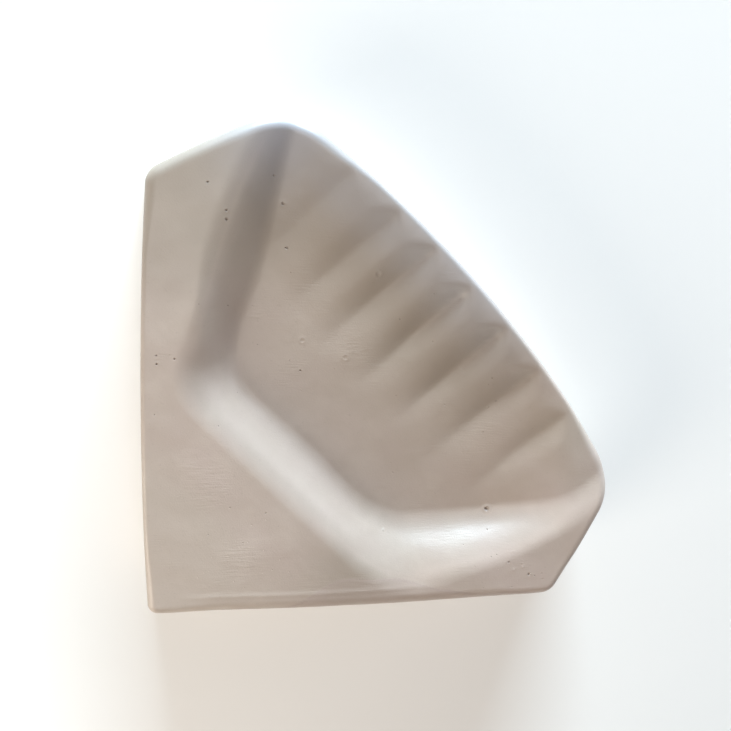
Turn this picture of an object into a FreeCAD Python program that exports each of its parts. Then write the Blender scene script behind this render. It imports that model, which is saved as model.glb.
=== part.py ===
"""Open plaster mold in the form of a ribbed corner soap dish.

Frame: +Z up, the base stands on Z = 0, +Y points to the square corner at the back, -Y to the
front lip, and X runs across. The origin is the middle of the base. Millimetres and degrees.
The casting is a face coat with the whole visible form, jute scrim pressed into its back,
a backing pour, steel bars laid on that pour, and a last pour screeded flat.
"""
import FreeCAD, Part
import Sketcher
import os

from FreeCAD import Placement, Rotation, Vector

DIMENSIONS = {
    # outline at the rim
    "leg": 200.0,               # square corner to the end of either straight side
    "cheek_setback": 21.2,      # how far each short side closes in across X
    "cheek_run": 63.4,          # length of each short side along Y
    "lip_bulge": 11.7,          # how far the curved front stands out past its ends
    "height": 50.0,
    "draft": 3.0,               # the sides open towards the base by this angle
    "front_corner_round": 32.0,
    "edge_round": 6.0,          # top edge and the three sharper corners
    # hollow: places along Y are measured from the square corner
    "hollow_back": 84.0,        # rim edge of the back wall
    "hollow_half_back": 79.0,   # half the length of that edge
    "hollow_spread": 0.377,     # how far each side edge opens per unit towards the front
    "hollow_depth": 18.0,
    "back_wall_run": 17.0,      # width of the back wall seen from above
    "side_wall_run": 34.0,      # width of a side wall along X, seen from above
    "floor_rise_end": 228.0,    # where the rising floor would meet the rim's plane, past the lip
    "hollow_corner_round": 20.0,
    "floor_round": 8.0,
    "rim_round": 4.0,
    # drain grooves: straight channels that run out into the rising floor
    "groove_pitch": 26.0,
    "groove_shift": 5.8,        # the row of grooves stands this far towards +X
    "groove_radius": 10.0,
    "groove_depth": 4.0,        # at the front end
    "groove_front": 199.0,      # centre of the round front end
    "groove_back": 138.0,
    # layers and bars
    "coat": 9.0,
    "scrim": 1.5,
    "back_lift": 10.0,
    "bar_radius": 3.0,
    "front_bar_length": 192.0,
    "front_bar_place": 184.0,
    "middle_bar_length": 132.0,
    "middle_bar_place": 128.0,
    "leg_bar_length": 134.0,
    "leg_bar_inset": 32.0,      # from the straight side
    "leg_bar_start": 44.0,      # from the square corner, along the straight side
}
GROOVES = 7
OVERRUN = 20.0                  # how far construction solids pass the surfaces that they trim

LEG_DROP = "dims.leg / sqrt(2)"
FRONT = f"({LEG_DROP} + dims.cheek_run + dims.lip_bulge)"
FAR_END = f"({FRONT} + {OVERRUN})"
BASE_FLARE = "dims.height * tan(dims.draft * 1deg)"
BACK = f"(({FRONT} - (sqrt(2) - 1) * ({BASE_FLARE} - dims.edge_round)) / 2)"
FLOOR_START = "(dims.hollow_back + dims.back_wall_run)"
FLOOR_SLOPE = f"(dims.hollow_depth / (dims.floor_rise_end - {FLOOR_START}))"
GROOVE_FALL = (f"({FLOOR_SLOPE} - dims.groove_depth / (dims.groove_front - dims.groove_back))")


def place(distance):
    """Y of a point at a distance from the square corner, as an expression."""
    return f"{BACK} - ({distance})"


def floor_height(distance):
    """Z of the rising floor at a distance from the square corner, as an expression."""
    return f"dims.height - {FLOOR_SLOPE} * (dims.floor_rise_end - ({distance}))"


def make_sheet(doc):
    """The driving dimensions, one named cell each."""
    sheet = doc.addObject("Spreadsheet::Sheet", "dims")
    for row, (name, value) in enumerate(DIMENSIONS.items(), start=1):
        sheet.set(f"A{row}", name)
        sheet.set(f"B{row}", str(value))
        sheet.setAlias(f"B{row}", name)
    doc.recompute()
    return sheet


def worked_out(sheet, expression):
    """The value of an expression over the sheet's cells."""
    value = sheet.evalExpression(expression)
    return getattr(value, "Value", value)


def bind(item, **settings):
    """Sets properties of an object from expressions; __ in a name stands for a dot."""
    for name, expression in settings.items():
        item.setExpression(name.replace("__", "."), expression)
    return item


def new_sketch(body, name, role, level="0"):
    """A sketch on one of a body's origin planes, raised to a level given as an expression."""
    sketch = body.newObject("Sketcher::SketchObject", name)
    plane = next(item for item in body.Origin.OriginFeatures if item.Role == role)
    sketch.AttachmentSupport = [(plane, "")]
    sketch.MapMode = "FlatFace"
    return bind(sketch, AttachmentOffset__Base__z=level)


def draw_outline(sheet, sketch, corners, bulge_side=None, bulge_radius=None):
    """A closed outline through corners given as pairs of expressions.

    One side may bulge towards -Y as an arc; the others are straight.
    """
    points = [Vector(worked_out(sheet, x), worked_out(sheet, y), 0) for x, y in corners]
    ends = points[1:] + points[:1]
    for side, (start, end) in enumerate(zip(points, ends)):
        if side == bulge_side:
            middle = (start + end) / 2 - Vector(0, worked_out(sheet, "dims.lip_bulge"), 0)
            sketch.addGeometry(Part.Arc(start, middle, end))
        else:
            sketch.addGeometry(Part.LineSegment(start, end))
    for side, (corner, point) in enumerate(zip(corners, points)):
        sketch.addConstraint(
            Sketcher.Constraint("Coincident", side, 2, (side + 1) % len(points), 1))
        for kind, text, value in (("DistanceX", corner[0], point.x),
                                  ("DistanceY", corner[1], point.y)):
            number = sketch.addConstraint(Sketcher.Constraint(kind, -1, 1, side, 1, value))
            sketch.setExpression(f"Constraints[{number}]", text)
    if bulge_radius:
        number = sketch.addConstraint(
            Sketcher.Constraint("Radius", bulge_side, worked_out(sheet, bulge_radius)))
        sketch.setExpression(f"Constraints[{number}]", bulge_radius)


def add_fillet(body, name, radius, test):
    """Rounds those edges of a body's present shape whose two end points pass a test."""
    base = body.Tip
    chosen = [f"Edge{number}" for number, edge in enumerate(base.Shape.Edges, start=1)
              if test(edge.Vertexes[0].Point, edge.Vertexes[-1].Point)]
    fillet = body.newObject("PartDesign::Fillet", name)
    fillet.Base = (base, chosen)
    bind(fillet, Radius=radius)
    body.Document.recompute()


def inset_corners(sheet, corners, inset):
    """The corners of an outline moved inwards, so that every side moves by the inset."""
    points = [Vector(worked_out(sheet, x), worked_out(sheet, y), 0) for x, y in corners]
    moved = []
    for number, (x, y) in enumerate(corners):
        before, here, after = (points[(number + step) % len(points)] for step in (-1, 0, 1))
        normals = []
        for run in (here - before, after - here):
            run.normalize()
            normals.append(Vector(-run.y, run.x, 0))
        shift = (normals[0] + normals[1]) / (1 + normals[0].dot(normals[1]))
        moved.append((f"{x} + ({inset}) * {shift.x}", f"{y} + ({inset}) * {shift.y}"))
    return moved


def make_block(doc, sheet, name, inset="0"):
    """The drafted block without its hollow, or the same block inside a coat of plaster."""
    body = doc.addObject("PartDesign::Body", name)
    half, front_half = f"({LEG_DROP})", f"({LEG_DROP} - dims.cheek_setback)"
    side, front = place(LEG_DROP), place(f"{LEG_DROP} + dims.cheek_run")
    corners = [("0", place("0")), (f"-{half}", side), (f"-{front_half}", front),
               (front_half, front), (half, side)]
    sketch = new_sketch(body, f"{name}_top_outline", "XY_Plane", f"dims.height - ({inset})")
    draw_outline(sheet, sketch, inset_corners(sheet, corners, inset), bulge_side=2,
                 bulge_radius=f"({front_half}^2 + dims.lip_bulge^2) / (2 * dims.lip_bulge)")
    pad = body.newObject("PartDesign::Pad", f"{name}_pad")
    pad.Profile = sketch
    pad.Reversed = True
    bind(pad, Length=f"dims.height - ({inset})", TaperAngle="dims.draft")
    doc.recompute()
    return body


def round_block(sheet, body):
    """Rounds the two wide front corners, then the top edge and the other upright corners."""
    front_y = worked_out(sheet, place(f"{LEG_DROP} + dims.cheek_run"))
    height = worked_out(sheet, "dims.height")

    def upright(a, b):
        return abs(a.z - b.z) > height / 2

    def at_front_corner(a, b):
        return upright(a, b) and abs((a.y + b.y) / 2 - front_y) < height / 4

    def top_or_back_upright(a, b):
        at_top = min(a.z, b.z) > height - 0.01
        return at_top or upright(a, b) and min(a.y, b.y) > front_y + height / 2

    add_fillet(body, "front_corners", "dims.front_corner_round", at_front_corner)
    add_fillet(body, "top_and_corners", "dims.edge_round", top_or_back_upright)


def add_wall_section(sheet, body, label, depth, clearance):
    """The outline between the three walls at a depth below the rim, moved out by a clearance."""
    share = f"({depth} / dims.hollow_depth)"
    back_shift = f"({clearance}) * sqrt(1 + (dims.back_wall_run / dims.hollow_depth)^2)"
    side_shift = (f"({clearance}) * sqrt(1 + dims.hollow_spread^2"
                  " + (dims.side_wall_run / dims.hollow_depth)^2)")
    back = f"(dims.hollow_back + dims.back_wall_run * {share} - {back_shift})"
    inward = f"(dims.side_wall_run * {share} - {side_shift})"
    halves = [f"(dims.hollow_half_back + dims.hollow_spread * ({end} - dims.hollow_back)"
              f" - {inward})" for end in (back, FAR_END)]
    sketch = new_sketch(body, f"{body.Name}_{label}", "XY_Plane", f"dims.height - {depth}")
    draw_outline(sheet, sketch, [
        (f"-{halves[0]}", place(back)), (f"-{halves[1]}", place(FAR_END)),
        (halves[1], place(FAR_END)), (halves[0], place(back))])
    return sketch


def cut_under_floor(sheet, body, clearance):
    """Takes away what lies under the rising floor, lowered by a clearance."""
    start, end = FLOOR_START, f"({FAR_END} + {OVERRUN})"
    under = f"dims.height - dims.hollow_depth - {OVERRUN} - ({clearance})"
    sketch = new_sketch(body, f"{body.Name}_under_floor", "YZ_Plane")
    draw_outline(sheet, sketch, [
        (place(start), f"{floor_height(start)} - ({clearance})"), (place(start), under),
        (place(end), under), (place(end), f"{floor_height(end)} - ({clearance})")])
    pocket = body.newObject("PartDesign::Pocket", f"{body.Name}_floor")
    pocket.Profile = sketch
    pocket.Type = "ThroughAll"
    pocket.Midplane = True
    body.Document.recompute()


def make_hollow(doc, sheet, name, clearance="0"):
    """The space of the hollow, three sloping walls over a rising floor, all moved out by a
    clearance."""
    body = doc.addObject("PartDesign::Body", name)
    low = add_wall_section(sheet, body, "low", f"(dims.hollow_depth + {clearance})", clearance)
    high = add_wall_section(sheet, body, "high", f"(-{OVERRUN})", clearance)
    loft = body.newObject("PartDesign::AdditiveLoft", f"{name}_walls")
    loft.Profile = low
    loft.Sections = [high]
    loft.Ruled = True
    doc.recompute()
    cut_under_floor(sheet, body, clearance)
    return body


def round_hollow(sheet, body):
    """Rounds the corners between the walls, then the foot of every wall."""
    top = worked_out(sheet, f"dims.height + {OVERRUN}")
    far_end = worked_out(sheet, place(FAR_END))

    def between_walls(a, b):
        return max(a.z, b.z) > top - 0.01 and abs(a.z - b.z) > OVERRUN and min(a.y, b.y) > 0

    def wall_foot(a, b):
        return max(a.z, b.z) < top - 1 and max(a.y, b.y) > far_end + 1

    add_fillet(body, "hollow_corners", "dims.hollow_corner_round", between_walls)
    add_fillet(body, "wall_feet", "dims.floor_round", wall_foot)


def make_casting(doc, sheet):
    """The rounded block with the rounded hollow cut into it and its rim softened."""
    casting = make_block(doc, sheet, "casting")
    round_block(sheet, casting)
    hollow = make_hollow(doc, sheet, "hollow")
    round_hollow(sheet, hollow)
    boolean = casting.newObject("PartDesign::Boolean", "cut_hollow")
    boolean.setObjects([hollow])
    boolean.Type = "Cut"
    doc.recompute()
    height = worked_out(sheet, "dims.height")
    rim_back = worked_out(sheet, place("dims.hollow_back"))
    half_back = worked_out(sheet, "dims.hollow_half_back")
    spread = worked_out(sheet, "dims.hollow_spread")

    def on_rim(point):
        side_edge = half_back + spread * (rim_back - point.y)
        inside = point.y < rim_back + 1 and abs(point.x) < side_edge + 1
        return inside and point.z > height - 0.01

    def hollow_rim(a, b):
        return on_rim(a) and on_rim(b)

    add_fillet(casting, "rim", "dims.rim_round", hollow_rim)
    return casting


def make_grooves(doc):
    """The space of the drain grooves, each a cylinder with a round front end."""
    pieces = []
    for number in range(GROOVES):
        x = f"{number - (GROOVES - 1) / 2} * dims.groove_pitch + dims.groove_shift"
        axis_z = (f"{floor_height('dims.groove_front')} - dims.groove_depth"
                  " + dims.groove_radius")
        channel = bind(
            doc.addObject("Part::Cylinder", f"groove_channel_{number + 1}"),
            Radius="dims.groove_radius",
            Height=f"(dims.groove_front - dims.groove_back) / cos(atan({GROOVE_FALL}))")
        channel.Placement = Placement(Vector(), Rotation(Vector(-1, 0, 0), 90))
        bind(channel, Placement__Base__x=x, Placement__Base__y=place("dims.groove_front"),
             Placement__Base__z=axis_z, Placement__Rotation__Angle=f"90deg + atan({GROOVE_FALL})")
        front_end = bind(
            doc.addObject("Part::Sphere", f"groove_end_{number + 1}"),
            Radius="dims.groove_radius", Placement__Base__x=x,
            Placement__Base__y=place("dims.groove_front"), Placement__Base__z=axis_z)
        pieces += [channel, front_end]
    grooves = doc.addObject("Part::MultiFuse", "grooves")
    grooves.Shapes = pieces
    return grooves


def make_bars(doc):
    """Steel bars with their middles on the plane between the two lifts."""
    bars = []
    for name in ("front_bar", "middle_bar"):
        bar = doc.addObject("Part::Cylinder", name)
        bar.Placement = Placement(Vector(), Rotation(Vector(0, 1, 0), 90))
        bars.append(bind(
            bar, Radius="dims.bar_radius", Height=f"dims.{name}_length",
            Placement__Base__x=f"-dims.{name}_length / 2",
            Placement__Base__y=place(f"dims.{name}_place"), Placement__Base__z="dims.back_lift"))
    for name, side in (("left_leg_bar", -1), ("right_leg_bar", 1)):
        bar = doc.addObject("Part::Cylinder", name)
        along_leg = Vector(side, -1, 0)
        bar.Placement = Placement(Vector(), Rotation(Vector(0, 0, 1), along_leg))
        bars.append(bind(
            bar, Radius="dims.bar_radius", Height="dims.leg_bar_length",
            Placement__Base__x=f"{side} * (dims.leg_bar_start - dims.leg_bar_inset) / sqrt(2)",
            Placement__Base__y=place("(dims.leg_bar_start + dims.leg_bar_inset) / sqrt(2)"),
            Placement__Base__z="dims.back_lift"))
    return bars


def combine(doc, kind, name, base, tool):
    """A boolean of two objects: Cut or Common."""
    result = doc.addObject(f"Part::{kind}", name)
    result.Base = base
    result.Tool = tool
    doc.recompute()
    return result


def make_core(doc, sheet, name, inset):
    """What lies inside a coat of the given thickness, down to the base."""
    return combine(doc, "Cut", name, make_block(doc, sheet, f"{name}_block", inset),
                   make_hollow(doc, sheet, f"{name}_hollow", inset))


def make_layers(doc, sheet):
    """Every piece of the casting, from the face coat to the last lift and its bars."""
    form = combine(doc, "Cut", "grooved_casting", make_casting(doc, sheet), make_grooves(doc))
    filling = make_core(doc, sheet, "filling", "dims.coat")
    inside_scrim = make_core(doc, sheet, "inside_scrim", "(dims.coat + dims.scrim)")
    upper = bind(doc.addObject("Part::Box", "above_back_lift"),
                 Length="2 * dims.leg", Width="2 * dims.leg", Height="dims.height",
                 Placement__Base__x="-dims.leg", Placement__Base__y="-dims.leg",
                 Placement__Base__z="dims.back_lift")
    bars = make_bars(doc)
    bar_spaces = doc.addObject("Part::MultiFuse", "bar_spaces")
    bar_spaces.Shapes = bars
    upper_filling = combine(doc, "Common", "upper_filling", filling, upper)
    upper_pour = combine(doc, "Common", "upper_pour", inside_scrim, upper)
    lower_pour = combine(doc, "Cut", "lower_pour", filling, upper)
    return [combine(doc, "Cut", "face_coat", form, filling),
            combine(doc, "Cut", "scrim_layer", upper_filling, inside_scrim),
            combine(doc, "Cut", "backing_pour", upper_pour, bar_spaces),
            combine(doc, "Cut", "back_pour", lower_pour, bar_spaces)] + bars


def write_parts(doc, pieces):
    """Checks every object, then writes each piece to its own file."""
    failed = [item.Name for item in doc.Objects if {"Invalid", "Error"} & set(item.State)]
    bad_shapes = [item.Label for item in pieces
                  if item.Shape.isNull() or not item.Shape.isValid() or item.Shape.Volume <= 0]
    if failed or bad_shapes:
        raise RuntimeError(f"failed objects {failed}, bad shapes {bad_shapes}")
    os.makedirs("parts", exist_ok=True)
    for item in pieces:
        item.Shape.exportStep(f"parts/{item.Label}.step")
        print(f"{item.Label}: {len(item.Shape.Solids)} solid, {item.Shape.Volume / 1000:.1f} cm3")


def main():
    doc = FreeCAD.newDocument("plaster_mold")
    sheet = make_sheet(doc)
    pieces = make_layers(doc, sheet)
    doc.recompute()
    write_parts(doc, pieces)


main()
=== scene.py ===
"""Looks of the open plaster mold: a ribbed, corner shaped form cast in sealed plaster.

Shapes are worked out in millimetres: X across, D the distance from the square corner towards
the front lip (Y = BACK - D), Z up from the base. "plus" and "minus" name the sides at +X and
-X. Meshes are made in metres in the part's frame.
"""
import math

import bmesh
import bpy
import numpy as np
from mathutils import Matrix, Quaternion, Vector
from mathutils.geometry import delaunay_2d_cdt
from mathutils.kdtree import KDTree


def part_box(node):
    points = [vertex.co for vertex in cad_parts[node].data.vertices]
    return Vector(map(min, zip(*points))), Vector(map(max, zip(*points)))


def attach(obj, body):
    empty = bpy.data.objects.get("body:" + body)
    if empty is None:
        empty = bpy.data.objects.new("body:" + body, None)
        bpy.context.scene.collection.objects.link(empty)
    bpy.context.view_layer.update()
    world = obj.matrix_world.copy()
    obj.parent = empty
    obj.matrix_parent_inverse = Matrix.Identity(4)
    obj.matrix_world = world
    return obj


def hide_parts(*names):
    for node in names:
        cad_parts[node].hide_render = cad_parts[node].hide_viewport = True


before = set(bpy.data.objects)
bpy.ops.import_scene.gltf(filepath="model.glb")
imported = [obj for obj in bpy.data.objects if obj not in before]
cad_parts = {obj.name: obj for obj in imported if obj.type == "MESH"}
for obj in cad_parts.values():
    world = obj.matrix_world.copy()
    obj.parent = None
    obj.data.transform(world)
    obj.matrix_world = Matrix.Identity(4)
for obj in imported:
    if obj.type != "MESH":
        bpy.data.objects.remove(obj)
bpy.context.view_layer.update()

MM = 0.001

# ---------------------------------------------------------------- sizes, in millimetres
LEG = 200.0                     # square corner to the end of either straight side, at the rim
CHEEK_SETBACK = 21.2            # how far each cheek leans in on its way to the lip
CHEEK_RUN = 63.4                # how much further in D each cheek reaches
LIP_BULGE = 11.7
LEG_BOW = 2.55                  # the straight sides are a little convex
CHEEK_BOW = 0.95
CORNER_ROUND = {"square": 4.9, "leg_end": 9.4, "front": 32.5}
EDGE_ROUND = {"plus_leg": 2.4, "minus_leg": 7.0, "cheek": 4.6, "lip": 2.6}
CORNER_EDGE_ROUND = {"square": 4.0, "leg_end": 5.0, "front": 5.4}
EDGE_BLEND = 34.0               # length over which the edge round changes near a corner
DRAFT = math.radians(3.0)
CAD_EDGE_ROUND = 6.0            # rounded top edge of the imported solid

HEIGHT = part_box("face_coat")[1].z / MM
FLARE = HEIGHT * math.tan(DRAFT)
BACK = (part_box("face_coat")[1].y / MM - math.sqrt(2) * FLARE
        + (math.sqrt(2) - 1) * CAD_EDGE_ROUND)      # Y of the outline's square corner

HOLLOW_DEPTH = 18.0
BACK_WALL = {"rim": 88.6, "width": 12.8}
# half: from the middle to the wall's rim edge at WALL_START, which spreads and curls with D;
# width: across the slope, which widens with D; brink: how softly the rim rolls over
PLUS_WALL = {"half": 60.5, "spread": 0.85, "curl": -7.0, "tuck": 2.0,
             "width": 18.5, "widen": 8.0, "brink": 6.0}
MINUS_WALL = {"half": 69.8, "spread": 0.79, "curl": -8.1, "tuck": 2.0,
              "width": 25.0, "widen": -5.5, "brink": 8.0}
WALL_START = 87.0
WALL_TUCK = (104.0, 17.0)       # D and reach of the slight waist in both side walls
WALL_WIDEN = (110.0, 40.0)      # D at which the slopes start to widen, and the length it takes
CURL_RUN = 50.0
BACK_BRINK = 12.5               # how softly the rim rolls over into the back wall
BACK_BRINK_REACH = (95.0, 14.0)
WALL_CREASE = {"back": 4.8, "middle": 9.0, "plus": 2.8, "minus": 6.0}
BACK_CREASE_REACH = (105.0, 12.0)
MIDDLE_CREASE_REACH = (-5.0, 34.0)
SIDE_CHANGE = (40.0, 80.0)      # X at which the plus side's softness ends, and the change's width
PLAN_BLEND = {"plus": 14.5, "minus": 23.0}  # softness of the hollow's two back corners
FLOOR_START = 101.0
FLOOR_RISE = 0.045              # slope of the floor at its back end
FLOOR_CURVE = 9.5e-6            # the floor steepens towards the lip
FLOOR_TWIST = 3.3               # how far the floor's front lifts towards the wall at -X
TWIST_X = (-35.0, 50.0)
TWIST_D = (130.0, 50.0)
LIP_LEVEL = -1.6
LIP_SAG = 1.0                   # how much lower the lip is 100 mm off the middle
LIP_BLEND = 2.4

VALLEYS = (-73.6, -45.5, -19.0, 7.3, 32.6, 56.2, 82.6)
VALLEY_DEPTHS = (2.9, 3.7, 4.3, 4.6, 3.6, 2.6, 1.2)
RIB_HALF_WIDTH = 13.0
VALLEY_SOFTNESS = 0.19
VALLEY_SWAY = 0.5
VALLEY_START = 134.0
VALLEY_FULL = 200.0
VALLEY_END = 215.7
VALLEY_CLOSE = 9.0
VALLEY_POINT = 15.0             # length over which each valley narrows to its front end
VALLEY_NARROWING = 0.55
OUTER_SETBACK = 6.0             # how much sooner the outermost valleys end

SEALER_RUNS = ((92, 17, 13.5), (122, 20, 11.0), (165, 26, 3.2))  # along the leg, length, reach
SEALER_THICKNESS = 0.11
BEAD_INSET = 7.4
BEAD_HEIGHT = 0.20
UNEVENNESS = ((0.08, 50, 11), (0.018, 16, 12), (0.006, 5.5, 13))  # height, wavelength, seed

# flaws listed one by one: X, D, radius, depth and height of a raised ring
FLAWS = (
    (-87.5, 147.2, 1.3, 0.75, 0.30),
    (104.7, 152.0, 0.8, 0.6, 0.1), (107.5, 154.6, 0.7, 0.5, 0.1),
    (77.5, 162.7, 0.45, 0.6, 0.0), (92.7, 175.0, 0.9, 0.35, 0.12),
    (104.3, 180.0, 0.55, 0.6, 0.0), (21.0, 148.0, 1.2, 0.12, 0.14),
    (41.0, 139.0, 1.1, 0.10, 0.12), (40.5, 185.5, 1.4, 0.14, 0.14),
    (77.0, 94.0, 0.5, 0.6, 0.0), (121.0, 157.0, 0.55, 0.5, 0.0),
    (77.0, 163.0, 0.5, 0.5, 0.0), (77.0, 126.0, 0.45, 0.5, 0.0),
    (80.6, 87.0, 0.55, 0.7, 0.05), (83.4, 89.6, 0.4, 0.6, 0.0),
    (-56.0, 103.0, 0.8, -0.25, 0.0), (-46.0, 182.0, 0.6, -0.2, 0.0),
    (31.0, 128.5, 0.6, 0.35, 0.05), (-3.0, 72.0, 0.4, 0.5, 0.0),
)
# areas of fine pinholes: X and D of the middle, and how far they spread each way
PINHOLE_AREAS = ((-10, 40, 26, 26), (0, 60, 60, 18), (60, 140, 38, 40), (-110, 135, 18, 16),
                 (0, 150, 80, 34), (-30, 190, 60, 12))
PINHOLES_EACH = 14
SPLASH = (-124, 140, 16)        # X and D of a crumbled patch at the minus leg's end, and its flaws
# flaws past this depth or height get dark colour painted inside them: painted shade in the pits
HOLE_DEPTH = 0.3                # flaws deeper or higher than this look dark

TOP_MARGIN = 0.55               # keeps the waviness below the solid's top
GRID = 0.95                     # spacing of the mesh on the top face
OUTLINE_STEP = 1.1
EDGE_TURN = 87                  # degrees that the rounded top edge turns before the side starts
EDGE_ROWS = 12
SIDE_ROWS = 30
SIDE_INSET = 0.12               # keeps the side's waves inside the solid
SIDE_HOLES = 46
POUR_LINE = 15.0                # height of the flow line that the pour left on the sides
BASE_ROUND = 1.2
BASE_HOLES = 90
SEAM_DEPTH = 0.7                # depth of the groove between the coat's ring and the last pour

CAMERA_PLACE = (114.65, 151.20, 342.86)     # X, D and height over the rim
CAMERA_AIM = (15.80, 152.38)                # X and D on the rim's plane
CAMERA_ROLL = 135.97
CAMERA_LENS = 38.61

FLOOR_REACH = 3.4               # metres from the middle to the start of the sweep
SWEEP = 1.6
FLOOR_DROP = 0.0002             # metres that the floor lies under the base
WORLD_STRENGTH = 0.05
# turn from +X towards +Y and rise over the rim in degrees, distance and size in metres,
# power in watts, colour
LIGHTS = {
    "key": (-49, 6.5, 3.0, 1.4, 330, (0.70, 0.88, 1.0)),
    "side": (80, 22, 0.9, 0.45, 5.2, (1.0, 0.92, 0.80)),
    "top": (0, 84, 1.5, 0.7, 7.8, (1.0, 0.91, 0.84)),
    "low_fill": (245, 9, 1.5, 0.7, 5, (0.90, 0.90, 1.0)),
    "back_fill": (135, 32, 1.5, 0.7, 2.5, (0.90, 1.0, 1.0)),
}


# ---------------------------------------------------------------- small helpers
def smooth_max(a, b, softness):
    """The larger of two heights, with a soft change from one to the other."""
    share = np.clip(0.5 + 0.5 * (a - b) / softness, 0, 1)
    return b + (a - b) * share + softness * share * (1 - share)


def smooth_min(a, b, softness):
    """The smaller of two heights, with a soft change from one to the other."""
    return -smooth_max(-a, -b, softness)


def smooth_step(value):
    """0 below 0, 1 above 1, and a smooth rise between."""
    value = np.clip(value, 0, 1)
    return value * value * (3 - 2 * value)


def bell(distance, width):
    """1 at zero distance, falling to nothing over a few widths."""
    return np.exp(-(distance / width) ** 2)


def spot(x, d, middle_x, middle_d, width):
    """1 at a place on the top face, falling to nothing over a few widths."""
    return bell(np.hypot(x - middle_x, d - middle_d), width)


def ripple(x, y, wavelength, seed, stretch=1.0, angle=0.0, waves=28):
    """A seeded random field of about unit size, made of plane waves near one wavelength.

    A stretch above 1 draws the ripples out along the angle.
    """
    chance = np.random.default_rng(seed)
    along = x * math.cos(angle) + y * math.sin(angle)
    across = y * math.cos(angle) - x * math.sin(angle)
    total = np.zeros(np.shape(x))
    for _ in range(waves):
        course = chance.uniform(0, math.tau)
        pitch = math.tau / (wavelength * chance.uniform(0.7, 1.5))
        phase = chance.uniform(0, math.tau)
        total += np.cos(pitch * (along / stretch * math.cos(course)
                                 + across * math.sin(course)) + phase)
    return total / math.sqrt(waves / 2)


# ---------------------------------------------------------------- outline of the casting
def plan_corners():
    """The outline's virtual corners at the rim, in order round the casting from the square one."""
    half = LEG / math.sqrt(2)
    front = half + CHEEK_RUN
    spots = [(0, 0), (-half, half), (CHEEK_SETBACK - half, front),
             (half - CHEEK_SETBACK, front), (half, half)]
    return [np.array((x, BACK - d)) for x, d in spots]


def side_circle(start, end, bow):
    """Centre and radius of the large circle that a slightly convex side lies on."""
    chord = end - start
    length = np.linalg.norm(chord)
    outward = np.array((chord[1], -chord[0])) / length
    radius = (length ** 2 / 4 + bow ** 2) / (2 * bow)
    return (start + end) / 2 - outward * (radius - bow), radius


def corner_centre(first, second, corner_round, corner):
    """Centre of the small circle that touches two side circles from inside, near a corner."""
    (c1, r1), (c2, r2) = first, second
    r1, r2 = r1 - corner_round, r2 - corner_round
    gap = np.linalg.norm(c2 - c1)
    axis = (c2 - c1) / gap
    along = (gap ** 2 + r1 ** 2 - r2 ** 2) / (2 * gap)
    aside = math.sqrt(r1 ** 2 - along ** 2)
    choices = [c1 + axis * along + sign * aside * np.array((-axis[1], axis[0])) for sign in (1, -1)]
    return min(choices, key=lambda choice: np.linalg.norm(choice - corner))


def heading(origin, target):
    """Angle of the direction from one point to another."""
    step = target - origin
    return math.atan2(step[1], step[0])


def outline():
    """Samples round the outline: arc centres, arc radii, outward angles and edge rounds."""
    corners = plan_corners()
    bows = (LEG_BOW, CHEEK_BOW, LIP_BULGE, CHEEK_BOW, LEG_BOW)
    kinds = ("square", "leg_end", "front", "front", "leg_end")
    side_rounds = [EDGE_ROUND[name] for name in ("minus_leg", "cheek", "lip", "cheek", "plus_leg")]
    sides = [side_circle(corners[n], corners[(n + 1) % 5], bows[n]) for n in range(5)]
    rounds = [CORNER_ROUND[kind] for kind in kinds]
    centres = [corner_centre(sides[n - 1], sides[n], rounds[n], corners[n]) for n in range(5)]
    samples = []
    for n in range(5):
        after = (n + 1) % 5
        corner_edges = (CORNER_EDGE_ROUND[kinds[n]], CORNER_EDGE_ROUND[kinds[after]])
        arcs = (
            (centres[n], rounds[n], heading(sides[n - 1][0], centres[n]),
             heading(sides[n][0], centres[n]), None),
            (*sides[n], heading(sides[n][0], centres[n]),
             heading(sides[n][0], centres[after]), side_rounds[n]),
        )
        for centre, radius, start, end, side_round in arcs:
            turn = (end - start) % math.tau
            count = max(10, math.ceil(turn * radius / OUTLINE_STEP))
            for step in range(count):
                share = step / count
                edge = corner_edges[0]
                if side_round is not None:
                    edge = side_round
                    gaps = (share * turn * radius, (1 - share) * turn * radius)
                    for gap, corner_edge in zip(gaps, corner_edges):
                        edge += (corner_edge - side_round) * (1 - smooth_step(gap / EDGE_BLEND))
                samples.append((*centre, radius, start + share * turn, edge))
    return np.array(samples)


def ring(samples, inset):
    """X and Y of the outline moved inwards by an inset."""
    reach = samples[:, 2] - inset
    return (samples[:, 0] + reach * np.cos(samples[:, 3]),
            samples[:, 1] + reach * np.sin(samples[:, 3]))


# ---------------------------------------------------------------- height of the top face
def valley_pattern(x, d):
    """Depth of the drain valleys between the broad ribs."""
    total = np.zeros(np.shape(x))
    ramp = smooth_step((d - VALLEY_START) / (VALLEY_FULL - VALLEY_START))
    for number, (middle, depth) in enumerate(zip(VALLEYS, VALLEY_DEPTHS)):
        sway = VALLEY_SWAY * np.sin(d / 23.0 + 1.7 * number)
        setback = OUTER_SETBACK * smooth_step((abs(middle) - 40) / 60)
        end = VALLEY_END - 0.9 * (number % 2) - setback
        taper = 1 - VALLEY_NARROWING * smooth_step((d - end + VALLEY_POINT) / VALLEY_POINT)
        aside = np.sqrt(((x - middle - sway) / (RIB_HALF_WIDTH * taper)) ** 2
                        + VALLEY_SOFTNESS ** 2)
        close = 1 - smooth_step((d - end + VALLEY_CLOSE) / VALLEY_CLOSE)
        total += depth * np.maximum(0, 1 - aside) ** 2 * ramp * close
    return total


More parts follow.
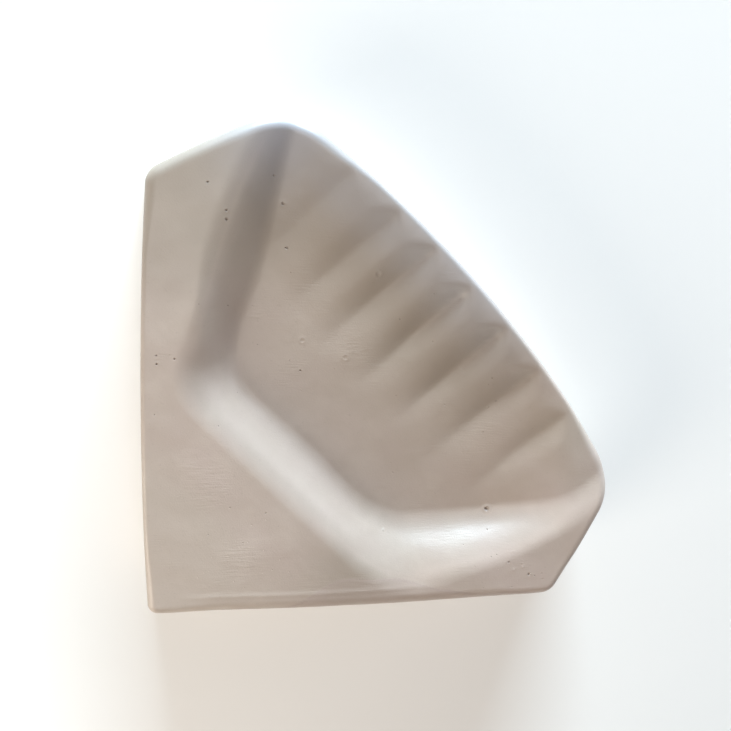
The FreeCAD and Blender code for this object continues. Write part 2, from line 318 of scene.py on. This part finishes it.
def floor_level(x, d):
    """Height over the rim's plane of the hollow's floor with its valleys, up to the lip."""
    reach = np.maximum(d - FLOOR_START, -10)
    floor = -HOLLOW_DEPTH + FLOOR_RISE * reach + FLOOR_CURVE * reach ** 3
    twist = (np.maximum(0, TWIST_X[0] - x) / TWIST_X[1]) ** 2
    floor = floor + FLOOR_TWIST * twist * smooth_step((d - TWIST_D[0]) / TWIST_D[1])
    lip = LIP_LEVEL - LIP_SAG * (x / 100) ** 2
    return smooth_min(floor - valley_pattern(x, d), lip, LIP_BLEND)


def wall_level(x, d):
    """Height over the rim's plane of the back wall and the two side walls, joined softly."""
    run = d - WALL_START
    slopes = [-(d - BACK_WALL["rim"]) * HOLLOW_DEPTH / BACK_WALL["width"]]
    for wall, sign in ((PLUS_WALL, 1), (MINUS_WALL, -1)):
        half = wall["half"] + wall["spread"] * run + wall["curl"] * (run / CURL_RUN) ** 2
        half = half - wall["tuck"] * bell(d - WALL_TUCK[0], WALL_TUCK[1])
        width = wall["width"] + wall["widen"] * smooth_step((d - WALL_WIDEN[0]) / WALL_WIDEN[1])
        slopes.append(-(half - sign * x) * HOLLOW_DEPTH / width)
    walls = smooth_max(slopes[0], slopes[1], PLAN_BLEND["plus"])
    return smooth_max(walls, slopes[2], PLAN_BLEND["minus"])


def hollow_level(x, d):
    """Height over the rim's plane of the hollow: floor, ribs and walls under a level rim."""
    minusness = smooth_step((SIDE_CHANGE[0] - x) / SIDE_CHANGE[1])
    backness = bell(np.maximum(0, d - BACK_CREASE_REACH[0]), BACK_CREASE_REACH[1])
    crease = WALL_CREASE["plus"] + (WALL_CREASE["minus"] - WALL_CREASE["plus"]) * minusness
    middleness = bell(x - MIDDLE_CREASE_REACH[0], MIDDLE_CREASE_REACH[1])
    back_crease = WALL_CREASE["back"] + (WALL_CREASE["middle"] - WALL_CREASE["back"]) * middleness
    crease = crease + (back_crease - crease) * backness
    brink = PLUS_WALL["brink"] + (MINUS_WALL["brink"] - PLUS_WALL["brink"]) * minusness
    back_brink = bell(np.maximum(0, d - BACK_BRINK_REACH[0]), BACK_BRINK_REACH[1])
    brink = brink + (BACK_BRINK - brink) * back_brink
    return smooth_max(floor_level(x, d), smooth_min(0, wall_level(x, d), brink), crease)


def minus_leg_place(x, d):
    """Distances along the minus leg and inwards from it."""
    return (d - x) / math.sqrt(2), (d + x) / math.sqrt(2)


def sealer_run(x, d):
    """Where sealer has run together beside the minus leg, from 0 to 1."""
    along, inside = minus_leg_place(x, d)
    reach = sum(wide * bell(along - middle, length) for middle, length, wide in SEALER_RUNS)
    reach = reach + 0.8 * np.sin(along / 5.5) - 0.5
    return 1 - smooth_step((inside - reach + 0.8) / 1.6)


def bead(x, d):
    """A faint bead left where the edge was rounded over, along the minus leg."""
    along, inside = minus_leg_place(x, d)
    fade = smooth_step((along - 12) / 20) * (1 - smooth_step((along - 110) / 40))
    return bell(inside - BEAD_INSET - 0.4 * np.sin(along / 17), 1.1) * fade


def unevenness(x, d):
    """Slow hand-made waviness of the cast face."""
    return sum(height * ripple(x, d, wavelength, seed) for height, wavelength, seed in UNEVENNESS)


def top_level(x, y):
    """Z of the top face before its edges are rounded over."""
    d = BACK - y
    return (HEIGHT - TOP_MARGIN + hollow_level(x, d) + unevenness(x, d)
            + SEALER_THICKNESS * sealer_run(x, d) + BEAD_HEIGHT * bead(x, d))


# ---------------------------------------------------------------- bubbles, pits and lumps
def marks():
    """Flaws on the top face as rows of X, D, radius, depth and height of a raised ring."""
    chosen = list(FLAWS)
    chance = np.random.default_rng(20)
    for middle_x, middle_d, wide, deep in PINHOLE_AREAS:
        for _ in range(PINHOLES_EACH):
            x = middle_x + wide * chance.normal() * 0.6
            d = middle_d + deep * chance.normal() * 0.6
            size = chance.uniform(0.18, 0.34)
            chosen.append((x, d, size, size * chance.uniform(0.7, 1.3), 0.0))
    for _ in range(SPLASH[2]):
        x = SPLASH[0] + 9 * chance.normal()
        d = SPLASH[1] + 2.5 * chance.normal()
        chosen.append((x, d, chance.uniform(0.4, 0.9), chance.uniform(-0.25, 0.4), 0.05))
    return np.array(chosen)


def carve(x, d, flaws):
    """Height that the flaws add, and how far each point lies inside a hole, from 0 to 1."""
    height = np.zeros(len(x))
    inside = np.zeros(len(x))
    for mark_x, mark_d, radius, depth, lip in flaws:
        away = np.hypot(x - mark_x, d - mark_d) / radius
        near = away < 3
        bowl = np.maximum(0, 1 - away[near] ** 2) ** 1.5
        height[near] += lip * bell(away[near] - 1.15, 0.35) - depth * bowl
        if abs(depth) > HOLE_DEPTH:
            inside[near] = np.maximum(inside[near], bowl)
    return height, inside


def mark_points(flaws):
    """Extra mesh points, as X and Y, in rings round each flaw."""
    spots = []
    for mark_x, mark_d, radius, *_ in flaws:
        spots.append((mark_x, mark_d))
        for share, count in ((0.4, 6), (0.75, 9), (1.05, 10), (1.5, 10)):
            for step in range(count):
                angle = math.tau * (step + share) / count
                spots.append((mark_x + share * radius * math.cos(angle),
                              mark_d + share * radius * math.sin(angle)))
    return flipped(np.array(spots))


def flipped(spots):
    """Points as X and Y from points as X and D."""
    return spots * (1, -1) + (0, BACK)


# ---------------------------------------------------------------- mesh tools
def tree_of(points):
    """A search tree over points in the plane."""
    tree = KDTree(len(points))
    for number, (x, y) in enumerate(points):
        tree.insert((x, y, 0), number)
    tree.balance()
    return tree


def far_from(points, tree, gap):
    """Those points that keep a gap from everything in a tree."""
    return np.array([p for p in points if tree.find((p[0], p[1], 0))[2] > gap])


def hex_grid(low, high, spacing):
    """Points of a triangular grid over a rectangle."""
    rows = []
    for number, y in enumerate(np.arange(low[1], high[1], spacing * math.sqrt(3) / 2)):
        shift = spacing / 2 * (number % 2)
        rows += [(x + shift, y) for x in np.arange(low[0], high[0], spacing)]
    return np.array(rows)


def within(point, polygon):
    """True for a point inside a closed polygon."""
    x, y = point
    x1, y1 = polygon[:, 0], polygon[:, 1]
    x2, y2 = np.roll(x1, -1), np.roll(y1, -1)
    spans = (y1 > y) != (y2 > y)
    crossing = x1[spans] + (y - y1[spans]) / (y2[spans] - y1[spans]) * (x2[spans] - x1[spans])
    return np.count_nonzero(crossing > x) % 2 == 1


def resampled(loop, step):
    """Points at most a step apart along a closed loop."""
    points = []
    for start, end in zip(loop, np.roll(loop, -1, axis=0)):
        count = max(1, math.ceil(np.linalg.norm(end - start) / step))
        points += [start + (end - start) * n / count for n in range(count)]
    return np.array(points)


def distances(points, loop):
    """How far each point of the plane is from a closed loop."""
    tree = tree_of(resampled(loop, 0.5))
    return np.array([tree.find((x, y, 0))[2] for x, y in points])


def offset_loop(loop, inward):
    """Points beside a closed loop, moved inwards or, if negative, outwards."""
    points = resampled(loop, 1.2)
    run = np.roll(points, -1, axis=0) - np.roll(points, 1, axis=0)
    run /= np.linalg.norm(run, axis=1)[:, None]
    left = np.column_stack([-run[:, 1], run[:, 0]])
    following = np.roll(points, -1, axis=0)
    area = np.sum(points[:, 0] * following[:, 1] - points[:, 1] * following[:, 0])
    return points + math.copysign(inward, inward * area) * left


def triangulate(loops, points):
    """Triangles between closed loops, over the loops' corners and loose points."""
    corners = np.vstack([*loops, points])
    edges = []
    start = 0
    for loop in loops:
        count = len(loop)
        edges += [(start + n, start + (n + 1) % count) for n in range(count)]
        start += count
    spots, _, faces, *_ = delaunay_2d_cdt([Vector(p) for p in corners], edges, [], 1, 1e-6)
    return np.array([tuple(p) for p in spots]), [tuple(face) for face in faces]


def grid_faces(rows, columns):
    """Quads of a grid that closes on itself across its columns."""
    return [(r * columns + c, (r + 1) * columns + c,
             (r + 1) * columns + (c + 1) % columns, r * columns + (c + 1) % columns)
            for r in range(rows - 1) for c in range(columns)]


def shifted(faces, start):
    """Faces whose points are numbered from a later start."""
    return [tuple(start + n for n in face) for face in faces]


def mesh_object(name, spots, faces):
    """A smooth shaded object from points in millimetres."""
    mesh = bpy.data.meshes.new(name)
    mesh.from_pydata([tuple(p) for p in np.asarray(spots) * MM], [], faces)
    made = bpy.data.objects.new(name, mesh)
    bpy.context.scene.collection.objects.link(made)
    mesh.polygons.foreach_set("use_smooth", [True] * len(mesh.polygons))
    return made


def tidy_mesh(made, gap):
    """Joins points closer than a gap in millimetres and turns all faces outwards."""
    work = bmesh.new()
    work.from_mesh(made.data)
    bmesh.ops.remove_doubles(work, verts=work.verts, dist=gap * MM)
    bmesh.ops.recalc_face_normals(work, faces=work.faces)
    work.to_mesh(made.data)
    work.free()
    made.data.update()


def store(made, name, values):
    """Keeps one number for each point of a mesh, for its material."""
    layer = made.data.attributes.new(name, "FLOAT", "POINT")
    layer.data.foreach_set("value", np.asarray(values, dtype=np.float32))


def coordinates(made):
    """The points of a mesh, in millimetres."""
    flat = np.zeros(len(made.data.vertices) * 3)
    made.data.vertices.foreach_get("co", flat)
    return flat.reshape(-1, 3) / MM


# ---------------------------------------------------------------- the CAD solids' hidden faces
def opened(node_name, inner_only=False):
    """A CAD node's points and faces without its flat base, and the loop left open there.

    With inner_only, the outer surface is left out too and the inner one stays.
    """
    work = bmesh.new()
    work.from_mesh(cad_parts[node_name].data)
    bmesh.ops.remove_doubles(work, verts=work.verts, dist=0.002 * MM)
    flat = [f for f in work.faces if all(abs(v.co.z) < 0.01 * MM for v in f.verts)]
    bmesh.ops.delete(work, geom=flat, context="FACES")
    if inner_only:
        bmesh.ops.delete(work, geom=outer_island(work), context="VERTS")
    border = {v: [e.other_vert(v) for e in v.link_edges if len(e.link_faces) == 1]
              for v in work.verts if any(len(e.link_faces) == 1 for e in v.link_edges)}
    loop = []
    vertex = next(iter(border))
    while vertex is not None:
        loop.append(vertex)
        vertex = next((v for v in border[vertex] if v not in loop), None)
    for vertex in loop:
        vertex.co.z = SEAM_DEPTH * MM
    work.verts.index_update()
    spots = np.array([v.co[:] for v in work.verts]) / MM
    faces = [tuple(v.index for v in f.verts) for f in work.faces]
    path = np.array([v.co[:2] for v in loop]) / MM
    work.free()
    return spots, faces, path


def outer_island(work):
    """The points connected to a mesh's widest point."""
    reach = max(abs(v.co.x) for v in work.verts)
    front = [v for v in work.verts if abs(v.co.x) > reach - 0.5 * MM]
    seen = set(front)
    while front:
        vertex = front.pop()
        for edge in vertex.link_edges:
            other = edge.other_vert(vertex)
            if other not in seen:
                seen.add(other)
                front.append(other)
    return list(seen)


# ---------------------------------------------------------------- sides and underside
def base_relief(points, loop):
    """Z of the underside: a surface struck off with a straight edge, with a groove at the seam."""
    x, y = points[:, 0], points[:, 1]
    drag = ripple(x, y, 7, 41, stretch=14, angle=0.06) + 0.6 * ripple(x, y, 2.6, 42, 24, 0.06)
    level = 0.30 + 0.05 * drag + 0.05 * ripple(x, y, 60, 43)
    seam = bell(distances(points, loop), 1.3)
    return np.maximum(level, 0.03) * (1 - seam) + SEAM_DEPTH * seam


def side_relief(run, z):
    """How far the side stands out: faint waves, a flow line of the pour and bubble holes."""
    relief = 0.10 * ripple(run, z * 1.6, 26, 31) + 0.04 * ripple(run, z, 6, 32, stretch=3)
    line = POUR_LINE + 1.6 * np.sin(run / 37) + 0.8 * np.sin(run / 11)
    relief -= 0.16 * bell(z - line, 0.9) + 0.10 * smooth_step((line - z) / 2)
    chance = np.random.default_rng(33)
    for _ in range(SIDE_HOLES):
        middle, level = chance.uniform(0, run.max()), chance.uniform(4, 40)
        radius = chance.uniform(0.8, 1.9)
        away = np.hypot(run - middle, z - level) / radius
        relief -= 0.55 * radius * np.maximum(0, 1 - away ** 2)
    return relief


def side_rows(samples):
    """Rows of points from the top face's border over the rounded edge and down the side."""
    edge = samples[:, 4]
    rows = []
    for angle in np.radians(np.linspace(0, EDGE_TURN, EDGE_ROWS)):
        x, y = ring(samples, edge * (1 - math.sin(angle)))
        rows.append((x, y, top_level(x, y) - edge * (1 - math.cos(angle))))
    start = rows[-1][2]
    run = np.arange(len(samples)) * OUTLINE_STEP
    for share in np.linspace(0, 1, SIDE_ROWS + 1)[1:]:
        z = start + (BASE_ROUND - start) * share
        out = np.maximum(0, FLARE * (HEIGHT - z - edge) / (HEIGHT - edge))
        calm = min(1, 6 * share, 6 * (1 - share))
        x, y = ring(samples, SIDE_INSET - out - side_relief(run, z) * calm)
        rows.append((x, y, z))
    for angle in np.radians((30, 60, 90)):
        x, y = ring(samples, BASE_ROUND * (1 - math.cos(angle)) + 0.1 - FLARE * 0.985)
        rows.append((x, y, np.full(len(x), BASE_ROUND * (1 - math.sin(angle)))))
    return [np.column_stack(row) for row in rows]


# ---------------------------------------------------------------- the face coat
def top_mesh(border, flaws):
    """Points and triangles of the top face inside its border, with its flaws carved in."""
    extra = np.array([point for point in mark_points(flaws) if within(point, border)])
    grid = hex_grid(border.min(0), border.max(0), GRID)
    grid = far_from(grid, tree_of(flipped(flaws[:, :2])), 1.3)
    loose = far_from(np.vstack([grid, extra]), tree_of(border), 0.5)
    plan, triangles = triangulate([border], loose)
    level = top_level(plan[:, 0], plan[:, 1])
    carved, _ = carve(plan[:, 0], BACK - plan[:, 1], flaws)
    return np.column_stack([plan, level + carved]), triangles


def base_ring(base, loop):
    """Points and triangles of the coat's underside, between its foot and the last pour."""
    filler = hex_grid(base.min(0), base.max(0), 2.0)
    filler = far_from(filler, tree_of(np.vstack([base, resampled(loop, 1.0)])), 0.8)
    plan, triangles = triangulate([base, loop], np.vstack([filler, offset_loop(loop, -0.7)]))
    level = base_relief(plan, loop) * smooth_step(distances(plan, base) / 2.0)
    outside = [triangle for triangle in triangles
               if not within(plan[list(triangle)].mean(0), loop)]
    return np.column_stack([plan, level]), outside


def make_face_coat():
    """The cast body: top face with the hollow, rounded edge, sides, base ring and cavity."""
    rows = side_rows(outline())
    flaws = marks()
    cavity, cavity_faces, loop = opened("face_coat", inner_only=True)
    sections = (
        (np.vstack(rows), grid_faces(len(rows), len(rows[0]))),
        top_mesh(rows[0][:, :2], flaws),
        (cavity, cavity_faces),
        base_ring(rows[-1][:, :2], loop),
    )
    spots, faces = [], []
    start = 0
    for section_spots, section_faces in sections:
        spots.append(section_spots)
        faces += shifted(section_faces, start)
        start += len(section_spots)
    made = mesh_object("plaster_face", np.vstack(spots), faces)
    tidy_mesh(made, 0.004)
    paint_face(made, flaws)
    return made


def paint_face(made, flaws):
    """Stores where the face coat is pitted, thickly sealed or bare, and where shade and a bluish
    sky reflection are painted into its colour.
    """
    spots = coordinates(made)
    x, d, z = spots[:, 0], BACK - spots[:, 1], spots[:, 2]
    upper = smooth_step((z - 25) / 10)
    # holes: where dark colour is painted inside the deeper pits, as painted shade
    _, holes = carve(x, d, flaws)
    store(made, "holes", holes * upper)
    run = sealer_run(x, d)
    store(made, "sealer", (0.45 * run + 3.0 * run * (1 - run)) * upper)

    # painted shade: the hollow is darkened all over, more towards its front and in its valleys
    inside = smooth_step(-hollow_level(x, d) / 3)
    front = smooth_step((d - 145) / 40) * smooth_step((x + 75) / 60)
    front = front + 0.6 * smooth_step((x - 55) / 40) * smooth_step((d - 125) / 40)
    valleys = valley_pattern(x, d) / max(VALLEY_DEPTHS)
    painted_shade = np.clip(0.30 + 0.60 * front + 0.7 * valleys, 0, 1) * inside
    # painted shade: the rim darkens towards the +X leg's far end and the lip, with two darker
    # patches on the -X side
    painted_rim_shade = (0.85 * smooth_step((d + x - 165) / 90) + 0.80 * spot(x, d, -58, 80, 24)
            + 0.35 * spot(x, d, -94, 121, 18))
    painted_shade = np.maximum(painted_shade, painted_rim_shade * (1 - inside)) * upper
    # painted shade: the sides are darkened below the top face
    side = smooth_step((top_level(x, spots[:, 1]) - z - 1.2) / 2.5) * (z > 1)
    store(made, "painted_shade", np.maximum(painted_shade, 0.45 * side))

    # painted shade and sky reflection: a bluish grey along the lip and at its +X corner
    lip = bell(np.maximum(0, 208 - 0.0012 * x ** 2 - d), 15) * smooth_step((x + 70) / 90)
    store(made, "painted_sky_shade", np.maximum(0.55 * lip, spot(x, d, 116, 200, 26)) * upper)
    edge = 15 + 2.4 * ripple(x, d, 60, 61) + 0.8 * ripple(x, d, 16, 62)
    store(made, "bare", smooth_step((edge - z) / 11))


# ---------------------------------------------------------------- the last pour
def base_holes(loop):
    """Pits in the underside, as rows like those of the flaws on top."""
    chance = np.random.default_rng(50)
    low, high = loop.min(0), loop.max(0)
    holes = []
    while len(holes) < BASE_HOLES:
        x, y = chance.uniform(low, high)
        size = chance.uniform(0.35, 1.0) * chance.choice((0.6, 1.0, 1.6))
        if within((x, y), loop):
            holes.append((x, BACK - y, size, -size * chance.uniform(0.6, 1.0), 0.0))
    return np.array(holes)


def make_back_pour():
    """The last pour: the solid's own sides and top with a struck-off, pitted underside."""
    spots, faces, loop = opened("back_pour")
    holes = base_holes(loop)
    points = hex_grid(loop.min(0), loop.max(0), 1.5)
    points = far_from(points, tree_of(flipped(holes[:, :2])), 1.2)
    points = np.vstack([points, mark_points(holes)])
    points = far_from(points, tree_of(resampled(loop, 0.8)), 1.0)
    points = np.array([point for point in points if within(point, loop)])
    plan, triangles = triangulate([loop], np.vstack([points, offset_loop(loop, 0.6)]))
    pits, _ = carve(plan[:, 0], BACK - plan[:, 1], holes)
    underside = np.column_stack([plan, base_relief(plan, loop) + pits])
    faces += shifted(triangles, len(spots))
    made = mesh_object("plaster_back", np.vstack([spots, underside]), faces)
    tidy_mesh(made, 0.004)
    return made


# ---------------------------------------------------------------- materials
def new_material(name):
    """An empty node material with its shader."""
    material = bpy.data.materials.new(name)
    material.use_nodes = True
    tree = material.node_tree
    tree.nodes.clear()
    output = tree.nodes.new("ShaderNodeOutputMaterial")
    shader = tree.nodes.new("ShaderNodeBsdfPrincipled")
    tree.links.new(shader.outputs[0], output.inputs["Surface"])
    return material, tree, shader


def feed(tree, socket, value):
    """Links an output to an input, or sets the input to a value."""
    if isinstance(value, bpy.types.NodeSocket):
        tree.links.new(value, socket)
    else:
        socket.default_value = value


def node(tree, kind, inputs=None, **settings):
    """Adds a node, with its settings and the values or links of its inputs."""
    made = tree.nodes.new("ShaderNode" + kind)
    for name, value in settings.items():
        setattr(made, name, value)
    for key, value in (inputs or {}).items():
        feed(tree, made.inputs[key], value)
    return made


def noise(tree, scale, detail=3.0, roughness=0.55, vector=None):
    """The value of a noise texture laid over the part, its scale in cycles per metre."""
    if vector is None:
        vector = node(tree, "TexCoord").outputs["Object"]
    return node(tree, "TexNoise", {"Vector": vector, "Scale": scale, "Detail": detail,
                                   "Roughness": roughness}).outputs["Fac"]


def stretched(tree, scale, turn=0.0):
    """Object coordinates scaled differently along each axis, after a turn about Z in degrees."""
    where = node(tree, "TexCoord").outputs["Object"]
    turned = node(tree, "Mapping", {"Vector": where, "Rotation": (0, 0, math.radians(turn))})
    return node(tree, "Mapping", {"Vector": turned.outputs[0], "Scale": scale}).outputs[0]


def mapped(tree, value, low, high, to_low, to_high):
    """A value mapped from one range to another, kept inside the second."""
    return node(tree, "MapRange", {"Value": value, "From Min": low, "From Max": high,
                                   "To Min": to_low, "To Max": to_high}).outputs[0]


def mixed(tree, share, first, second):
    """A colour between two colours; each may be a value or a socket."""
    made = node(tree, "Mix", data_type="RGBA")
    for key, value in ((0, share), (6, first), (7, second)):
        feed(tree, made.inputs[key], value)
    return made.outputs[2]


def painted(tree, name, strength):
    """A number stored at the mesh's points, from 0 to 1, times a strength."""
    stored = node(tree, "Attribute", attribute_name=name).outputs["Fac"]
    return mapped(tree, stored, 0, 1, 0, strength)


def bumped(tree, shader, *layers):
    """Lays bump layers over one another, each a strength, a depth in metres and a height."""
    normal = None
    for strength, distance, height in layers:
        inputs = {"Strength": strength, "Distance": distance, "Height": height}
        if normal is not None:
            inputs["Normal"] = normal
        normal = node(tree, "Bump", inputs).outputs[0]
    tree.links.new(normal, shader.inputs["Normal"])


def sealed_plaster():
    """Warm, satin plaster under a coat of sealer, paler and bare towards the base, with shade and a
    bluish sky reflection painted into its colour.
    """
    material, tree, shader = new_material("sealed_plaster")
    broad = mapped(tree, noise(tree, 16, 3), 0.35, 0.65, 0, 1)
    colour = mixed(tree, broad, (0.465, 0.374, 0.318, 1), (0.512, 0.406, 0.360, 1))
    tint = mapped(tree, noise(tree, 9, 2), 0.42, 0.62, 0, 0.6)
    colour = mixed(tree, tint, colour, (0.475, 0.405, 0.335, 1))
    patch = mapped(tree, noise(tree, 75, 4, 0.6), 0.45, 0.75, 0, 0.5)
    colour = mixed(tree, patch, colour, (0.54, 0.45, 0.385, 1))
    speck = mapped(tree, noise(tree, 900, 2), 0.62, 0.80, 0, 0.35)
    colour = mixed(tree, speck, colour, (0.33, 0.265, 0.22, 1))
    # painted shade: darker brown over the hollow, its valleys, patches of the rim and the sides
    colour = mixed(tree, painted(tree, "painted_shade", 0.75), colour, (0.305, 0.25, 0.20, 1))
    # painted shade and sky reflection: bluish grey along the lip and at its +X corner
    colour = mixed(tree, painted(tree, "painted_sky_shade", 0.85), colour, (0.42, 0.42, 0.46, 1))
    colour = mixed(tree, painted(tree, "sealer", 0.75), colour, (0.37, 0.28, 0.245, 1))
    chalk = mixed(tree, noise(tree, 130, 5, 0.7), (0.52, 0.47, 0.40, 1), (0.62, 0.57, 0.50, 1))
    colour = mixed(tree, painted(tree, "bare", 0.8), colour, chalk)
    # painted shade: near-black brown inside the deeper pits
    colour = mixed(tree, painted(tree, "holes", 0.6), colour, (0.16, 0.12, 0.10, 1))
    tree.links.new(colour, shader.inputs["Base Color"])
    tree.links.new(mapped(tree, noise(tree, 60, 4), 0.3, 0.7, 0.36, 0.50),
                   shader.inputs["Roughness"])
    shader.inputs["Specular IOR Level"].default_value = 0.62
    shader.inputs["Coat Weight"].default_value = 0.08
    shader.inputs["Coat Roughness"].default_value = 0.30
    grain = noise(tree, 1400, 4, 0.6)
    brush = noise(tree, 1.0, 4, 0.6, stretched(tree, (130, 1300, 500), -45))
    brushed = mapped(tree, noise(tree, 26, 3, 0.6), 0.50, 0.68, 0, 1)
    strokes = node(tree, "Math", {0: brush, 1: brushed}, operation="MULTIPLY").outputs[0]
    bumped(tree, shader, (0.22, 0.0003, grain), (0.30, 0.0006, strokes))
    return material


def raw_plaster():
    """Pale, chalky plaster, mottled where water stood on it, with fine scratches."""
    material, tree, shader = new_material("raw_plaster")
    damp = mapped(tree, noise(tree, 22, 4, 0.6), 0.38, 0.66, 0, 1)
    colour = mixed(tree, damp, (0.74, 0.70, 0.64, 1), (0.60, 0.55, 0.48, 1))
    dust = mapped(tree, noise(tree, 260, 5, 0.7), 0.45, 0.75, 0, 0.6)
    colour = mixed(tree, dust, colour, (0.80, 0.77, 0.72, 1))
    scratch = noise(tree, 1.0, 4, 0.6, stretched(tree, (12, 700, 300), 3.5))
    colour = mixed(tree, mapped(tree, scratch, 0.60, 0.78, 0, 0.45), colour, (0.48, 0.43, 0.37, 1))
    tree.links.new(colour, shader.inputs["Base Color"])
    tree.links.new(mapped(tree, damp, 0, 1, 0.92, 0.78), shader.inputs["Roughness"])
    bumped(tree, shader, (0.25, 0.0003, noise(tree, 1100, 5, 0.65)), (0.30, 0.0003, scratch))
    return material


def jute_scrim():
    """Open jute weave with plaster in it."""
    material, tree, shader = new_material("jute_scrim")
    where = node(tree, "TexCoord").outputs["Object"]
    threads = [node(tree, "TexWave", {"Vector": where, "Scale": 110.0, "Distortion": 1.6,
                                      "Detail": 2.0, "Detail Scale": 3.0}, bands_direction=axis)
               .outputs["Fac"] for axis in ("X", "Y")]
    weave = node(tree, "Math", {0: threads[0], 1: threads[1]}, operation="MAXIMUM").outputs[0]
    fibre = noise(tree, 1500, 3)
    strand = mixed(tree, fibre, (0.33, 0.23, 0.12, 1), (0.55, 0.42, 0.26, 1))
    colour = mixed(tree, mapped(tree, weave, 0.55, 0.85, 0, 1), (0.66, 0.61, 0.54, 1), strand)
    tree.links.new(colour, shader.inputs["Base Color"])
    shader.inputs["Roughness"].default_value = 0.9
    bumped(tree, shader, (0.6, 0.0006, weave), (0.3, 0.0002, fibre))
    return material


def bar_steel():
    """Dull drawn steel with a bloom of rust."""
    material, tree, shader = new_material("bar_steel")
    drawn = noise(tree, 1.0, 3, 0.5, stretched(tree, (40, 1500, 1500)))
    colour = mixed(tree, drawn, (0.24, 0.23, 0.22, 1), (0.42, 0.40, 0.38, 1))
    rust = mapped(tree, noise(tree, 170, 5, 0.7), 0.50, 0.68, 0, 1)
    colour = mixed(tree, rust, colour, (0.20, 0.085, 0.04, 1))
    tree.links.new(colour, shader.inputs["Base Color"])
    tree.links.new(mapped(tree, rust, 0, 1, 0.9, 0.1), shader.inputs["Metallic"])
    tree.links.new(mapped(tree, rust, 0, 1, 0.42, 0.85), shader.inputs["Roughness"])
    bumped(tree, shader, (0.2, 0.0001, drawn), (0.4, 0.0002, rust))
    return material


# ---------------------------------------------------------------- studio
def make_floor():
    """The plain pale floor that the casting stands on, swept up to a wall far round it."""
    profile = [(FLOOR_REACH / 2, 0.0)]
    for turn in np.linspace(0, math.pi / 2, 24):
        profile.append((FLOOR_REACH + SWEEP * math.sin(turn), SWEEP * (1 - math.cos(turn))))
    around = 96
    spots = [(reach * math.cos(math.tau * n / around), reach * math.sin(math.tau * n / around),
              rise - FLOOR_DROP)
             for reach, rise in profile for n in range(around)]
    faces = grid_faces(len(profile), around) + [tuple(range(around))]
    floor = mesh_object("studio_floor", np.array(spots) / MM, faces)
    material, tree, shader = new_material("studio_floor")
    where = node(tree, "TexCoord").outputs["Object"]
    away = node(tree, "VectorMath", {0: where}, operation="LENGTH").outputs["Value"]
    share = mapped(tree, away, 2.0, FLOOR_REACH + SWEEP, 0, 1)
    tree.links.new(mixed(tree, share, (0.95, 0.93, 0.91, 1), (0.63, 0.62, 0.61, 1)),
                   shader.inputs["Base Color"])
    shader.inputs["Roughness"].default_value = 0.9
    floor.data.materials.append(material)


def add_light(name, towards, distance, size, power, colour):
    """A soft square light aimed at the middle of the casting's rim."""
    data = bpy.data.lights.new(name, "AREA")
    data.size = size
    data.energy = power
    data.color = colour
    light = bpy.data.objects.new(name, data)
    bpy.context.scene.collection.objects.link(light)
    light.location = Vector((0, 0, HEIGHT * MM)) + towards * distance
    light.rotation_mode = "QUATERNION"
    light.rotation_quaternion = (-towards).to_track_quat("-Z", "Y")


def make_studio():
    """World light and soft lights: a low key beyond the lip's +X end, a side light and fills."""
    world = bpy.data.worlds.new("studio")
    world.use_nodes = True
    background = world.node_tree.nodes["Background"]
    background.inputs["Color"].default_value = (1.0, 1.0, 1.0, 1)
    background.inputs["Strength"].default_value = WORLD_STRENGTH
    bpy.context.scene.world = world
    for name, (turn, rise, distance, size, power, colour) in LIGHTS.items():
        turn, rise = math.radians(turn), math.radians(rise)
        towards = Vector((math.cos(turn) * math.cos(rise), math.sin(turn) * math.cos(rise),
                          math.sin(rise)))
        add_light(name, towards, distance, size, power, colour)
    bpy.context.scene.view_settings.view_transform = "Standard"


def make_camera():
    """A hand-held view from over the +X side, turned so that the square corner is low."""
    data = bpy.data.cameras.new("camera")
    data.sensor_width = 36
    data.lens = CAMERA_LENS
    camera = bpy.data.objects.new("camera", data)
    bpy.context.scene.collection.objects.link(camera)
    place = Vector((CAMERA_PLACE[0], BACK - CAMERA_PLACE[1], HEIGHT + CAMERA_PLACE[2])) * MM
    aim = Vector((CAMERA_AIM[0], BACK - CAMERA_AIM[1], HEIGHT)) * MM
    camera.location = place
    camera.rotation_mode = "QUATERNION"
    camera.rotation_quaternion = ((aim - place).to_track_quat("-Z", "Y")
                                  @ Quaternion((0, 0, 1), math.radians(CAMERA_ROLL)))
    bpy.context.scene.camera = camera


# ---------------------------------------------------------------- assembly
def add_piece(made, material, replaced):
    """Hands a visual piece over in place of a CAD node."""
    made.data.materials.append(material)
    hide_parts(replaced)
    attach(made, "root")


def finish_node(name, material):
    """Gives a CAD node that stays its material."""
    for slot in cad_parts[name].material_slots:
        slot.material = material


plaster = raw_plaster()
add_piece(make_face_coat(), sealed_plaster(), "face_coat")
add_piece(make_back_pour(), plaster, "back_pour")
finish_node("backing_pour", plaster)
finish_node("scrim_layer", jute_scrim())
steel = bar_steel()
for bar in ("front_bar", "middle_bar", "left_leg_bar", "right_leg_bar"):
    finish_node(bar, steel)

make_floor()
make_studio()
make_camera()
